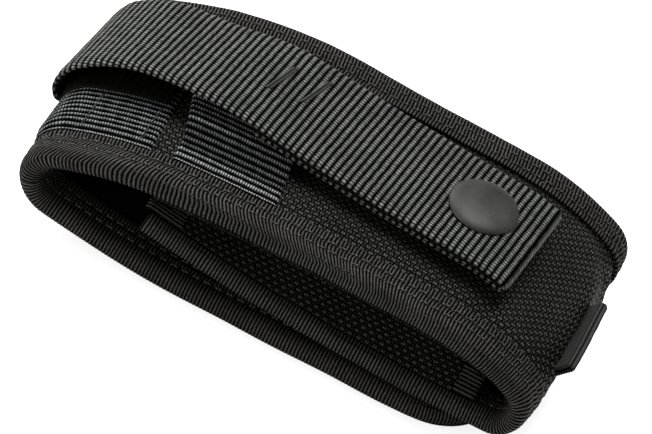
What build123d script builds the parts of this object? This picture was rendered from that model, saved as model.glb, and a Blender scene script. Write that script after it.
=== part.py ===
from build123d import *
from math import cos, radians, sin
import os

# A padded nylon belt sheath for a folding multi tool, lying on its closed flap with its back up.
# One padded strip is folded round: flap, top fold, back, bottom fold, pocket front.
# +X runs from the top fold to the bottom fold, Y is across the width and Z is up. Millimetres.
# Z = 0 is the plane the closed flap rests on; X = 0 and Y = 0 are the middle of the whole box, to 0.5 mm.

# ---- driving dimensions ----
WIDTH = 60.0                    # over the bound edges
FLAP_END_X = 50.1
FLAP_CORNER_R = 16.0
PANEL = 4.3                     # the whole padded sandwich
SHELL = 0.8                     # ballistic nylon face
LINING = 0.5
TAPE = 0.5                      # binding tape thickness
TAPE_COVER = 8.6                # how far the binding reaches in from an edge
GAP = 0.05                      # air left between layers that touch in the real thing

CROSS_WEBBING = 1.5             # thickness of the two cross webbings
CROSS_WIDTH = 25.0
CROSS_UPPER_X = -47.0           # middle of the flat cross webbing by the top fold
CROSS_LOOP_X = -20.6            # middle of the arched one
CROSS_LOOP_WIDTH = 23.4
CROSS_LOOP_RISE = 1.6

STRAP = 1.7                     # thickness of the long strap
STRAP_WIDTH = 28.0
STRAP_SHIFT = -0.9              # the strap's middle lies a little nearer than its snap
STRAP_SKEW = 5.0                # the strap lies a little askew on the back, degrees
SNAP_X, SNAP_Y = 28.8, -0.35    # snap centre on the back
SNAP_TILT = 1.0                 # the back falls away gently under the snap, degrees
CAP_R = 7.6

PATCH = 1.1                     # hook and loop patches
PATCH_HALF_WIDTH = 16.0
GUSSET = 1.3                    # gusset leaf, measured across the sheath
GUSSET_DEPTH = 6.0

END_LOOP_WIDTH = 21.4           # of the flattened webbing loop that stands off the bottom fold
END_LOOP_THICK, END_LOOP_SLIT = 2.2, 0.4
END_LOOP_TILT = 50.0            # up from level, degrees
END_LOOP_X, END_LOOP_Y, END_LOOP_Z = 59.95, -5.2, 21.2      # middle of its rolled outer edge

HALF = WIDTH / 2
HALF_PANEL = PANEL / 2
HALF_BOUND = HALF_PANEL + TAPE + GAP
EDGE = HALF - TAPE - GAP        # where the layers stop, inside the binding's fold


class Path:
    """A run of arcs, each a length and a turn in degrees, drawn in the XZ plane.

    Negative turns are clockwise. Offsets count to the left of travel, which is the outer side of
    the folded strip and of the long strap's loop.
    """

    def __init__(self, x, z, heading, arcs):
        self.joins = [(0.0, x, z, heading)]
        self.arcs = arcs
        for length, turn in arcs:
            distance, *place = self.joins[-1]
            self.joins.append((distance + length, *self.step(*place, length, turn)))
        self.length = self.joins[-1][0]

    @staticmethod
    def step(x, z, heading, length, turn):
        """Where an arc of a given length and turn ends."""
        if abs(turn) < 1e-9:
            return x + length * cos(radians(heading)), z + length * sin(radians(heading)), heading
        a, b, radius = radians(heading), radians(heading + turn), length / radians(turn)
        return x + radius * (sin(b) - sin(a)), z - radius * (cos(b) - cos(a)), heading + turn

    def at(self, distance):
        """Point and heading at a distance; the last arc carries on past its end."""
        spans = list(zip(self.joins, self.arcs))
        (begun, *place), (length, turn) = next(
            (span for span in spans if distance <= span[0][0] + span[1][0] + 1e-9), spans[-1])
        part = (distance - begun) / length
        return self.step(*place, length * part, turn * part)

    def beside(self, distance, offset):
        """The X and Z of a point at an offset from the path."""
        x, z, heading = self.at(distance)
        return x - offset * sin(radians(heading)), z + offset * cos(radians(heading))

    def find_x(self, x, low, high, offset=0.0):
        """Distance, between two distances, at which a line beside the path passes a given X."""
        rising = self.at(high)[0] > self.at(low)[0]
        for _ in range(40):
            middle = (low + high) / 2
            if (self.beside(middle, offset)[0] < x) == rising:
                low = middle
            else:
                high = middle
        return low

    def layer(self, start, end, low, high, y_from, y_to):
        """A solid that follows the path between two offsets, from y_from to y_to."""
        joins = [d for d, *_ in self.joins if start + 1e-6 < d < end - 1e-6]
        stops = [start, *joins, end]

        def point(distance, offset):
            x, z = self.beside(distance, offset)
            return Vector(x, y_from, z)

        def piece(a, b, offset):
            middle = (a + b) / 2
            if abs(self.at(a)[2] - self.at(b)[2]) < 1e-6:
                return Edge.make_line(point(a, offset), point(b, offset))
            return Edge.make_three_point_arc(point(a, offset), point(middle, offset), point(b, offset))

        sides = [piece(a, b, offset) for offset in (low, high) for a, b in zip(stops, stops[1:])]
        ends = [Edge.make_line(point(d, low), point(d, high)) for d in (start, end)]
        return Solid.extrude(Face(Wire(sides + ends)), Vector(0, y_to - y_from, 0))


# The padded strip: flap (curve, flat, curve), top fold, back (rise, crown, fall), bottom fold, front.
FLAP = [(34.8, -3.0), (30.0, 0.0), (35.5, -11.0)]
TOP_FOLD = [(17.1, -144.0)]
BACK = [(26.0, -21.0), (60.0, -7.0), (21.0, -27.0)]
BOTTOM_FOLD = [(14.98, -148.0)]
FRONT = [(81.0, -12.0)]
FLAP_START_Z = HALF_BOUND + 0.91
strip = Path(FLAP_END_X, FLAP_START_Z, 183.0, FLAP + TOP_FOLD + BACK + BOTTOM_FOLD + FRONT)
FOLD_LINE = sum(length for length, turn in FLAP)
BACK_START = FOLD_LINE + TOP_FOLD[0][0]
BACK_END = BACK_START + sum(length for length, turn in BACK)
FRONT_START = strip.length - FRONT[0][0]

# The long strap, measured from the snap along its own length: up from its fold, over the loop it
# makes, down to the free end, round, and back underneath itself as a second thickness.
STRAP_RUN = [(8.0, -44.0), (20.4, -23.0), (22.3, -22.0), (34.0, 5.0), (16.0, 0.0), (8.7, -14.0)]
STRAP_TURN = [(2.83, -180.0)]
STRAP_RETURN = [(8.7, 14.0), (16.0, 0.0), (34.0, -5.0)]
strap = Path(-89.25, 17.0, 84.0, STRAP_RUN + STRAP_TURN + STRAP_RETURN)
SNAP_ALONG = strap.find_x(0.0, 60.0, 105.0)


# ---- helpers ----
def on_back(x):
    """Distance along the strip at which the back passes a given X."""
    return strip.find_x(x, BACK_START, BACK_END)


def on_front(x):
    """Distance along the strip at which the pocket front passes a given X."""
    return strip.find_x(x, FRONT_START, strip.length)


def askew(shape):
    """Puts a shape drawn in the strap's own frame on to the back."""
    return Pos(SNAP_X, SNAP_Y, 0) * Rot(0, 0, -STRAP_SKEW) * shape


SNAP_BASE_Z = strip.beside(on_back(SNAP_X), HALF_PANEL)[1]


def at_snap(shape):
    """Puts a shape drawn about the snap's axis, zero at the back's outer face, in its place."""
    return Pos(SNAP_X, SNAP_Y, SNAP_BASE_Z) * Rot(0, 0, -STRAP_SKEW) * Rot(0, SNAP_TILT, 0) * shape


def ring(radius, low, high, hole=0.0):
    """A disc or washer about the Z axis, between two heights."""
    outline = Circle(radius) - Circle(hole) if hole else Circle(radius)
    return Pos(0, 0, low) * extrude(outline, high - low)


def seen_from_above(margin):
    """The flap's rounded outline, brought in by a margin, as a tall block."""
    outline = RectangleRounded(FLAP_END_X + 150 - margin, WIDTH - 2 * margin, FLAP_CORNER_R - margin)
    return Pos((FLAP_END_X - 150 - margin) / 2, 0, -20) * extrude(outline, 60)


def bound_edge(start, end, side):
    """U-shaped edge binding on one side of the strip."""
    inner, fold = side * (HALF - TAPE_COVER), side * HALF
    core = strip.layer(start - 1, end + 1, -HALF_PANEL - GAP, HALF_PANEL + GAP,
                       inner - side, fold - side * TAPE)
    return strip.layer(start, end, -HALF_BOUND, HALF_BOUND, inner, fold) - core


def bar_tack(x, y, z, across, along, tilt, turn=0.0):
    """A short, dense, raised bar of thread."""
    bar = Box(across, along, 0.4)
    bar = fillet(bar.edges().group_by(Axis.Z)[-1], 0.15)
    return Pos(x, y, z) * Rot(0, tilt, 0) * Rot(0, 0, turn) * bar


# ---- the padded strip's three layers, and its bindings ----
bands = {
    "shell": (HALF_PANEL - SHELL, HALF_PANEL),
    "foam": (-HALF_PANEL + LINING + GAP, HALF_PANEL - SHELL - GAP),
    "lining": (-HALF_PANEL, -HALF_PANEL + LINING),
}
POST_R = 2.0
post_hole = at_snap(ring(POST_R + 0.1, -8, 4))


def body_layer(band):
    """One layer from the flap's fold line to the pocket mouth, with a hole for the snap."""
    return strip.layer(FOLD_LINE, strip.length - TAPE - GAP, *bands[band], -EDGE, EDGE) - post_hole


def flap_layer(band):
    """One layer of the flap, cut to its rounded outline."""
    whole = strip.layer(0, FOLD_LINE - GAP, *bands[band], -HALF, HALF)
    return whole & seen_from_above(TAPE + GAP)


parts = {
    "outer_shell": body_layer("shell"),
    "foam_core": body_layer("foam"),
    "inner_lining": body_layer("lining"),
    "flap_shell": flap_layer("shell"),
    "flap_foam": flap_layer("foam"),
    "flap_lining": flap_layer("lining"),
    "edge_binding_near": bound_edge(FOLD_LINE, strip.length, -1),
    "edge_binding_far": bound_edge(FOLD_LINE, strip.length, 1),
}

mouth_half = HALF - TAPE_COVER - GAP
mouth_start = strip.length - TAPE_COVER
mouth_tape = strip.layer(mouth_start, strip.length, -HALF_BOUND, HALF_BOUND, -mouth_half, mouth_half)
parts["pocket_mouth_binding"] = mouth_tape - strip.layer(
    mouth_start - 1, strip.length - TAPE, -HALF_PANEL - GAP, HALF_PANEL + GAP, -HALF, HALF)

flap_tape = strip.layer(0, FOLD_LINE - GAP, -HALF_BOUND, HALF_BOUND, -HALF, HALF) & seen_from_above(0)
flap_core = strip.layer(0, FOLD_LINE - GAP, -HALF_PANEL - GAP, HALF_PANEL + GAP, -HALF, HALF)
parts["flap_binding"] = (flap_tape - (flap_core & seen_from_above(TAPE))) - seen_from_above(TAPE_COVER)

# ---- hook and loop closure between the flap and the pocket front ----
patch_low, patch_high = HALF_PANEL + GAP, HALF_PANEL + GAP + PATCH
hook_start = strip.find_x(13.0, 0, FOLD_LINE)
hook_end = strip.find_x(-13.0, 0, FOLD_LINE)
parts["flap_hook_patch"] = strip.layer(
    hook_start, hook_end, -patch_high, -patch_low, -PATCH_HALF_WIDTH, PATCH_HALF_WIDTH)
parts["pocket_loop_patch"] = strip.layer(
    on_front(13.0), on_front(-13.0), patch_low, patch_high, -PATCH_HALF_WIDTH, PATCH_HALF_WIDTH)


# ---- side gussets: a soft V folded inwards between the back and the pocket front ----
GUSSET_X = (-30.2, -22.2, -8.0, 6.0, 20.0, 32.0, 41.0, 45.5)


def gusset_section(x, side, grow):
    """The V across the sheath at a given X, each face moved out by grow."""
    room = HALF_BOUND + 0.25
    top = strip.beside(strip.find_x(x, BACK_START, BACK_END, -room), -room)[1]
    bottom = strip.beside(strip.find_x(x, FRONT_START, strip.length, -room), -room)[1]
    rim, crease = HALF - 1.6 + grow, HALF - 1.6 - GUSSET_DEPTH + grow
    inward = GUSSET + 2 * grow
    outline = [(rim, top), (crease, (top + bottom) / 2), (rim, bottom),
               (rim - inward, bottom), (crease - inward, (top + bottom) / 2), (rim - inward, top)]
    corners = [Vector(x, side * y, z) for y, z in outline]
    return Wire.make_polygon(corners, close=True)


def gusset(side, stations, grow=0.0):
    """A gusset, or a sleeve round it, through a run of X stations."""
    return Solid.make_loft([gusset_section(x, side, grow) for x in stations], ruled=True)


def gusset_tapes(side):
    """The taped ends of a gusset: at the pocket mouth and by the bottom fold."""
    sleeve = gusset(side, (GUSSET_X[0] - TAPE, *GUSSET_X[1:-1], GUSSET_X[-1] + TAPE), TAPE)
    hollow = gusset(side, (GUSSET_X[0] - GAP, *GUSSET_X[1:-1], GUSSET_X[-1] + GAP), GAP)
    middle = (GUSSET_X[1] + GUSSET_X[-2]) / 2
    between = Pos(middle, 0, 20) * Box(GUSSET_X[-2] - GUSSET_X[1], 100, 100)
    return (sleeve - hollow) - between


for side, name in ((-1, "near"), (1, "far")):
    parts["side_gusset_" + name] = gusset(side, GUSSET_X)
    parts["gusset_end_tapes_" + name] = gusset_tapes(side)

# ---- cross webbings on the back ----
upper_start = max(on_back(CROSS_UPPER_X + CROSS_WIDTH / 2) - CROSS_WIDTH, FOLD_LINE)
web_low, web_high = HALF_PANEL + GAP, HALF_PANEL + GAP + CROSS_WEBBING
WEB_HALF = HALF - TAPE_COVER - GAP
parts["cross_webbing_upper"] = strip.layer(
    upper_start, upper_start + CROSS_WIDTH, web_low, web_high, -WEB_HALF, WEB_HALF)

ARCH_FOOT, ARCH_TURN = 3.0, 26.0
arch_arc = CROSS_LOOP_RISE / 2 / (1 - cos(radians(ARCH_TURN))) * radians(ARCH_TURN)
arch_rise = [(arch_arc, ARCH_TURN), (arch_arc, -ARCH_TURN)]
arch_fall = [(arch_arc, -ARCH_TURN), (arch_arc, ARCH_TURN)]
arch_span = 4 * arch_arc / radians(ARCH_TURN) * sin(radians(ARCH_TURN))
arch_top = 2 * WEB_HALF - 2 * ARCH_FOOT - arch_span
arch = Path(-WEB_HALF, 0, 0, [(ARCH_FOOT, 0), *arch_rise, (arch_top, 0), *arch_fall, (ARCH_FOOT, 0)])
arch_place = strip.at(on_back(CROSS_LOOP_X))
arch_x, arch_z = strip.beside(on_back(CROSS_LOOP_X), HALF_PANEL + 0.25)
arch_solid = arch.layer(0, arch.length, 0, CROSS_WEBBING, -CROSS_LOOP_WIDTH / 2, CROSS_LOOP_WIDTH / 2)
parts["cross_webbing_loop"] = (
    Pos(arch_x, 0, arch_z) * Rot(0, -arch_place[2], 0) * Rot(0, 0, 90) * arch_solid)

# ---- the long strap ----
half_strap, half_width = STRAP / 2, STRAP_WIDTH / 2
strap_solid = strap.layer(
    0, strap.length, -half_strap, half_strap, STRAP_SHIFT - half_width, STRAP_SHIFT + half_width)
cap_hole = at_snap(ring(POST_R + 0.1, 0, 12))
parts["strap_webbing"] = askew(strap_solid) - cap_hole

BASE_Y = 5.7                    # the strap's fold sits across the skewed strap's upper end
base_low = web_high + GAP
base_solid = strip.layer(FOLD_LINE + 8.5, on_back(-33.0), base_low, base_low + STRAP,
                         BASE_Y - half_width, BASE_Y + half_width)
hinge_u, hinge_z = strap.beside(0, half_strap)
first_run = strap.layer(0, 40, -half_strap - 0.3, half_strap + 0.3, -half_width - 5, half_width + 5)
for angle in range(0, 151, 15):     # both pieces under the fold keep clear of the strap as it swings
    swing = Pos(hinge_u, 0, hinge_z) * Rot(0, -angle, 0) * Pos(-hinge_u, 0, -hinge_z)
    swung = askew(swing * first_run)
    base_solid = base_solid - swung
    parts["cross_webbing_upper"] = parts["cross_webbing_upper"] - swung
parts["strap_base"] = base_solid

# ---- snap fastener ----
strap_rise = strap.beside(SNAP_ALONG, 0)[1] - SNAP_BASE_Z
under_strap = strap_rise - 1.5 * STRAP - 2 * GAP
cap_base = strap_rise + half_strap + 0.15
CAP_DOME_R, CAP_HEIGHT = 20.6, 1.95
cap_dome = Pos(0, 0, cap_base + CAP_HEIGHT - CAP_DOME_R) * Sphere(CAP_DOME_R)
cap_head = ring(CAP_R, cap_base, cap_base + CAP_HEIGHT) & cap_dome
parts["snap_cap"] = at_snap(cap_head + ring(POST_R, under_strap - 0.4, cap_base + 0.2))

SOCKET_R, SOCKET_DEPTH, SOCKET_WALL = 5.6, 2.2, 0.45
BULB_R, STUD_R = 3.0, 5.2
socket_top = under_strap - 0.15
socket_body = ring(SOCKET_R, socket_top - SOCKET_DEPTH, socket_top, BULB_R + 0.25)
socket_roof = ring(BULB_R + 0.25, socket_top - SOCKET_WALL, socket_top, POST_R + GAP)
parts["snap_socket"] = at_snap(socket_body + socket_roof)

stud_flange = ring(STUD_R, 0.3, 0.75, POST_R + GAP)
stud_bulb = ring(BULB_R, 0.75, socket_top - SOCKET_WALL - 0.15, POST_R + GAP)
parts["snap_stud"] = at_snap(stud_flange + stud_bulb)
rivet_flange = ring(STUD_R, -PANEL - 0.9, -PANEL - 0.35)
parts["snap_rivet"] = at_snap(rivet_flange + ring(POST_R, -PANEL - 0.4, socket_top - SOCKET_WALL - 0.2))

# ---- flattened webbing loop, folded over on itself and sewn to the bottom fold ----
loop_run = 9.0                  # cut off where it meets the fold
loop_ply = (END_LOOP_THICK - END_LOOP_SLIT) / 2
loop_outline = SlotOverall(loop_run, END_LOOP_THICK) - SlotOverall(loop_run - 2 * loop_ply, END_LOOP_SLIT)
loop_outline = Pos(-(loop_run - END_LOOP_THICK) / 2, 0) * loop_outline
loop_band = Rot(90, 0, 0) * extrude(loop_outline, END_LOOP_WIDTH / 2, both=True)
loop_band = Pos(END_LOOP_X, END_LOOP_Y, END_LOOP_Z) * Rot(0, -END_LOOP_TILT, 0) * loop_band
parts["end_loop"] = loop_band - strip.layer(
    BACK_END - 4, FRONT_START, -HALF_BOUND, HALF_PANEL + GAP, -HALF, HALF)

# ---- bar tacks ----
STRAP_TACK_TURN = -10.0         # sewn slightly out of square to the strap
strap_tacks = []
for x, y in ((-48.6, 1.0), (-41.3, 3.1)):
    along = strap.find_x(x, 20, 70)
    tack_place, tack_z = strap.beside(along, half_strap + GAP + 0.2)
    tack = bar_tack(tack_place, y, tack_z, 1.3, 9.5, -strap.at(along)[2], STRAP_TACK_TURN)
    strap_tacks.append(askew(tack))
parts["strap_bar_tacks"] = strap_tacks

web_tacks = []
for x in (-49.0, -37.2):
    along = on_back(x)
    tack_place, tack_z = strip.beside(along, web_high + GAP + 0.2)
    web_tacks.append(bar_tack(tack_place, -14.9, tack_z, 0.9, 11.0, -strip.at(along)[2]))
parts["webbing_bar_tacks"] = web_tacks

# ---- write one file per piece ----
os.makedirs("parts", exist_ok=True)
for name, shape in parts.items():
    pieces = shape if isinstance(shape, list) else [shape]
    export_step(Compound([solid for piece in pieces for solid in piece.solids()]), f"parts/{name}.step")
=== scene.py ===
import bpy
import numpy as np
from math import cos, pi, radians, sin
from mathutils import Matrix, Vector


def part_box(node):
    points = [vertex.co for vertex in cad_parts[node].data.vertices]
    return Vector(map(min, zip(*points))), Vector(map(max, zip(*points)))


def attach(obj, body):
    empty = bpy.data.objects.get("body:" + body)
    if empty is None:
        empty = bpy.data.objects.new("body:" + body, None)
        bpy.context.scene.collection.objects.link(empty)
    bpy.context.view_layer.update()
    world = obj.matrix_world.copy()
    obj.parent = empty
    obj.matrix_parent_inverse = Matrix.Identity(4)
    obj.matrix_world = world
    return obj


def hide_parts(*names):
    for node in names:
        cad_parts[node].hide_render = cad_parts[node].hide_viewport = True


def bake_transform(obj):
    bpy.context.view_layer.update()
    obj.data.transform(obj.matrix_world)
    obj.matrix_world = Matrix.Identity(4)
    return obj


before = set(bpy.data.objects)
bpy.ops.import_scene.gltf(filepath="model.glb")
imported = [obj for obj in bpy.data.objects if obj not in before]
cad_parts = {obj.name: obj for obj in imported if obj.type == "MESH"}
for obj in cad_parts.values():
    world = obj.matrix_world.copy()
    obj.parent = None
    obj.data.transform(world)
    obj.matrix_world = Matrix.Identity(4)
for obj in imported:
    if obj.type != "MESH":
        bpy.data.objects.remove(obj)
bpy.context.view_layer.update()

# A padded nylon sheath for a folding multi tool, lying on its closed flap. Shapes are worked out in
# millimetres, in the frame of the CAD model, and turned into metres when a mesh is made.
MM = 0.001
FINE = 1.0

# ---------------------------------------------------------------- driving dimensions
HALF = 30.0                     # half the width over the bound edges
HALF_PANEL, HALF_BOUND = 2.15, 2.70
TAPE_COVER = 8.6
FLAP_CORNER = 16.0
STRAP_HALF, STRAP_WIDE = 0.85, 14.0
STRAP_SHIFT = -0.9              # the strap's middle lies a little nearer than its snap
STRAP_SKEW = radians(5.0)
SNAP = np.array([28.8, -0.35])
WEB = 1.5                       # cross webbing thickness
RIB = 1.5                       # webbing: one weft rib
GROSGRAIN = 0.76                # binding tape: one rib
BASKET = 0.95                   # shell fabric: one cell


class Path:
    """Arcs of a length and a turn in degrees in the XZ plane; offsets count to the left of travel."""

    def __init__(self, x, z, heading, arcs):
        joins = [(0.0, x, z, radians(heading))]
        for length, turn in arcs:
            s, x, z, h = joins[-1]
            turn = radians(turn)
            chord = length * np.sinc(turn / 2 / pi)
            joins.append((s + length, x + chord * cos(h + turn / 2), z + chord * sin(h + turn / 2), h + turn))
        self.length = joins[-1][0]
        self.joins = np.array(joins)
        self.bend = np.array([radians(turn) / length for length, turn in arcs])

    def at(self, s):
        s = np.asarray(s, float)
        k = np.clip(np.searchsorted(self.joins[:, 0], s, side="right") - 1, 0, len(self.bend) - 1)
        start, x, z, h = np.moveaxis(self.joins[k], -1, 0)
        d, bend = s - start, self.bend[k]
        chord = d * np.sinc(bend * d / 2 / pi)
        return x + chord * np.cos(h + bend * d / 2), z + chord * np.sin(h + bend * d / 2), h + bend * d

    def beside(self, s, offset):
        x, z, h = self.at(s)
        return x - offset * np.sin(h), z + offset * np.cos(h)

    def find(self, x, low, high):
        s = np.linspace(low, high, 4001)
        return float(s[np.argmin(np.abs(self.at(s)[0] - x))])


FLAP = [(34.8, -3.0), (30.0, 0.0), (35.5, -11.0)]
TOP_FOLD = [(17.1, -144.0)]
BACK = [(26.0, -21.0), (60.0, -7.0), (21.0, -27.0)]
BOTTOM_FOLD = [(14.98, -148.0)]
FRONT = [(81.0, -12.0)]
strip = Path(50.1, HALF_BOUND + 0.91, 183.0, FLAP + TOP_FOLD + BACK + BOTTOM_FOLD + FRONT)
FOLD_LINE = sum(length for length, turn in FLAP)
BACK_START = FOLD_LINE + TOP_FOLD[0][0]
BACK_END = BACK_START + sum(length for length, turn in BACK)
FRONT_START = BACK_END + BOTTOM_FOLD[0][0]
MOUTH = strip.length
CUT = FOLD_LINE + 7.3           # where the flap's pieces meet the body's, on the top fold

STRAP_RUN = [(8.0, -44.0), (20.4, -23.0), (22.3, -22.0), (34.0, 5.0), (16.0, 0.0), (8.7, -14.0)]
STRAP_TURN = [(2.83, -180.0)]
STRAP_RETURN = [(8.7, 14.0), (16.0, 0.0), (34.0, -5.0)]
strap_path = Path(-89.25, 17.0, 84.0, STRAP_RUN + STRAP_TURN + STRAP_RETURN)


# ---------------------------------------------------------------- mesh building
def ripple(a, b, seed, wave):
    """Smooth unevenness of about one unit, from a handful of sines."""
    rng = np.random.default_rng(seed)
    total = 0
    for _ in range(6):
        angle, scale, phase = rng.uniform(0, 2 * pi), rng.uniform(0.6, 1.5), rng.uniform(0, 2 * pi)
        total = total + np.sin((a * cos(angle) + b * sin(angle)) * 2 * pi * scale / wave + phase)
    return total / 6 * 1.6


def bump(value, centre, width):
    return np.exp(-((value - centre) / width) ** 2)


def on_strip(s, y, offset):
    """A place on the sheath, with the slight slump of its two unsupported corners, flat on the floor."""
    x, z = strip.beside(s, offset)
    x, y, z = np.broadcast_arrays(x, y, z)
    near = np.clip((x - 44) / 16, 0, 1) ** 1.5 * np.clip((-y - 12) / 18, 0, 1)
    far = np.clip((-x - 38) / 20, 0, 1) * np.clip((y - 4) / 26, 0, 1) * np.clip((z - 12) / 12, 0, 1)
    far = 1.8 * far - 1.7 * bump(x, -16, 15) * np.clip((y - 8) / 18, 0, 1) * np.clip((z - 14) / 10, 0, 1)
    return np.stack([x - 2.4 * near, y, np.maximum(z - far, 0.04)], -1).astype(float)


def askew(u, v, z):
    """From the strap's own frame to the whole sheath's."""
    x = SNAP[0] + u * cos(STRAP_SKEW) + v * sin(STRAP_SKEW)
    y = SNAP[1] - u * sin(STRAP_SKEW) + v * cos(STRAP_SKEW)
    return np.stack(np.broadcast_arrays(x, y, z), -1).astype(float)


def make_mesh(name, points, quads, uv):
    mesh = bpy.data.meshes.new(name)
    points, quads = np.ascontiguousarray(points, float), np.ascontiguousarray(quads, np.int32)
    mesh.vertices.add(len(points))
    mesh.vertices.foreach_set("co", (points * MM).astype(np.float32).ravel())
    mesh.loops.add(quads.size)
    mesh.loops.foreach_set("vertex_index", quads.ravel())
    mesh.polygons.add(len(quads))
    mesh.polygons.foreach_set("loop_start", np.arange(len(quads), dtype=np.int32) * quads.shape[1])
    mesh.update(calc_edges=True)
    layer = mesh.uv_layers.new(name="weave")
    layer.data.foreach_set("uv", uv[quads.ravel()].astype(np.float32).ravel())
    mesh.polygons.foreach_set("use_smooth", np.ones(len(quads), bool))
    mesh.update()
    obj = bpy.data.objects.new(name, mesh)
    bpy.context.scene.collection.objects.link(obj)
    return obj


def grid(name, points, uv, wrap=False, flip=False):
    """A mesh from an (n, m) grid of points; wrap joins the last column back to the first."""
    n, m = points.shape[:2]
    if wrap:
        points = np.concatenate([points, points[:, :1]], 1)
        m += 1
    index = np.arange(n * m).reshape(n, m)
    quads = np.stack([index[:-1, :-1], index[1:, :-1], index[1:, 1:], index[:-1, 1:]], -1).reshape(-1, 4)
    if flip:
        quads = quads[:, ::-1]
    return make_mesh(name, points.reshape(-1, 3), quads, uv.reshape(-1, 2))


def surface_normals(points):
    a, b = np.gradient(points, axis=0), np.gradient(points, axis=1)
    n = np.cross(a, b)
    return n / np.maximum(np.linalg.norm(n, axis=-1, keepdims=True), 1e-9)


def sheet(name, points, uv, thickness, flip=False):
    """A closed thin sheet whose outer face is the grid given, thickened behind it."""
    normal = surface_normals(points) * (-1 if flip else 1)
    back = points - normal * thickness
    loop = np.concatenate([points, back[:, ::-1]], 1)
    loop_uv = np.concatenate([uv, uv[:, ::-1]], 1)
    loop_uv = np.concatenate([loop_uv, loop_uv[:, :1]], 1)
    first = (loop[:1] + loop[:1, ::-1]) / 2
    last = (loop[-1:] + loop[-1:, ::-1]) / 2
    loop = np.concatenate([first, loop, last], 0)
    loop_uv = np.concatenate([loop_uv[:1], loop_uv, loop_uv[-1:]], 0)
    return grid(name, loop, loop_uv, wrap=True, flip=flip)


def band_section(half_width, half_thick, across, round_steps=5):
    """A flat webbing's closed section: places across, heights, and outward normals."""
    flat = np.linspace(-(half_width - half_thick), half_width - half_thick, across)
    turn = np.linspace(90, -90, round_steps + 2)[1:-1]
    side = half_width - half_thick
    y = np.concatenate([flat, side + half_thick * np.cos(np.radians(turn)), flat[::-1],
                        -side - half_thick * np.cos(np.radians(turn))])
    z = np.concatenate([np.full(across, half_thick), half_thick * np.sin(np.radians(turn)),
                        np.full(across, -half_thick), -half_thick * np.sin(np.radians(turn))])
    ny = np.concatenate([np.zeros(across), np.cos(np.radians(turn)), np.zeros(across),
                         -np.cos(np.radians(turn))])
    nz = np.concatenate([np.ones(across), np.sin(np.radians(turn)), -np.ones(across),
                         -np.sin(np.radians(turn))])
    return y, z, ny, nz


def rib_relief(s, across, depth=0.24, sharp=0.6):
    """How far the woven face sinks between the weft ribs."""
    wander = 0.08 * np.sin(across * 1.9 + s * 0.31) + 0.05 * np.sin(across * 4.3 + s * 0.7)
    rib = np.abs(np.sin(pi * (s + wander) / RIB)) ** sharp
    return -depth * (1 - rib) + 0.04 * ripple(s, across, 21, 3.1)


def threads(name, stitches, radius=0.17, rings=7, sides=6):
    """Stitches, each an arched capsule of thread: start, end, outward direction and arch height."""
    points, quads, uv = [], [], []
    for number, (a, b, out, rise) in enumerate(stitches):
        a, b, out = np.array(a, float), np.array(b, float), np.array(out, float)
        along = b - a
        length = np.linalg.norm(along)
        along = along / max(length, 1e-9)
        out = out / np.linalg.norm(out)
        across = np.cross(along, out)
        for ring in range(rings):
            t = ring / (rings - 1)
            middle = a + (b - a) * t + out * rise * (sin(pi * t) ** 0.6 - 0.45)
            r = radius * (0.55 + 0.45 * sin(pi * t) ** 0.5) if 0 < ring < rings - 1 else radius * 0.25
            for side in range(sides):
                q = 2 * pi * side / sides
                points.append(middle + (across * cos(q) + out * sin(q)) * r)
                uv.append((t * length, side * 2 * pi * r / sides))
        base = number * rings * sides
        for ring in range(rings - 1):
            for side in range(sides):
                a0, b0 = base + ring * sides + side, base + ring * sides + (side + 1) % sides
                quads.append((a0, b0, b0 + sides, a0 + sides))
    return make_mesh(name, np.array(points), np.array(quads), np.array(uv))


# ---------------------------------------------------------------- materials
class Wire:
    """Arithmetic on shader sockets."""

    def __init__(self, tree, socket):
        self.tree, self.socket = tree, socket

    def op(self, operation, *others):
        node = self.tree.nodes.new("ShaderNodeMath")
        node.operation = operation
        for place, value in enumerate((self, *others)):
            if isinstance(value, Wire):
                self.tree.links.new(value.socket, node.inputs[place])
            else:
                node.inputs[place].default_value = value
        return Wire(self.tree, node.outputs[0])

    def __add__(self, other):
        return self.op("ADD", other)

    def __sub__(self, other):
        return self.op("SUBTRACT", other)

    def __mul__(self, other):
        return self.op("MULTIPLY", other)

    def __truediv__(self, other):
        return self.op("DIVIDE", other)

    def __pow__(self, other):
        return self.op("POWER", other)

    def sin(self):
        return self.op("SINE")

    def abs(self):
        return self.op("ABSOLUTE")

    def floor(self):
        return self.op("FLOOR")

    def fract(self):
        return self.op("FRACT")

    def max(self, other):
        return self.op("MAXIMUM", other)

    def min(self, other):
        return self.op("MINIMUM", other)

    def wave(self, pitch):
        return (self * (pi / pitch)).sin().abs()

    def mix(self, other, share):
        """This where share is 0, other where it is 1."""
        return self * (share * -1.0 + 1.0) + other * share


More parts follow.
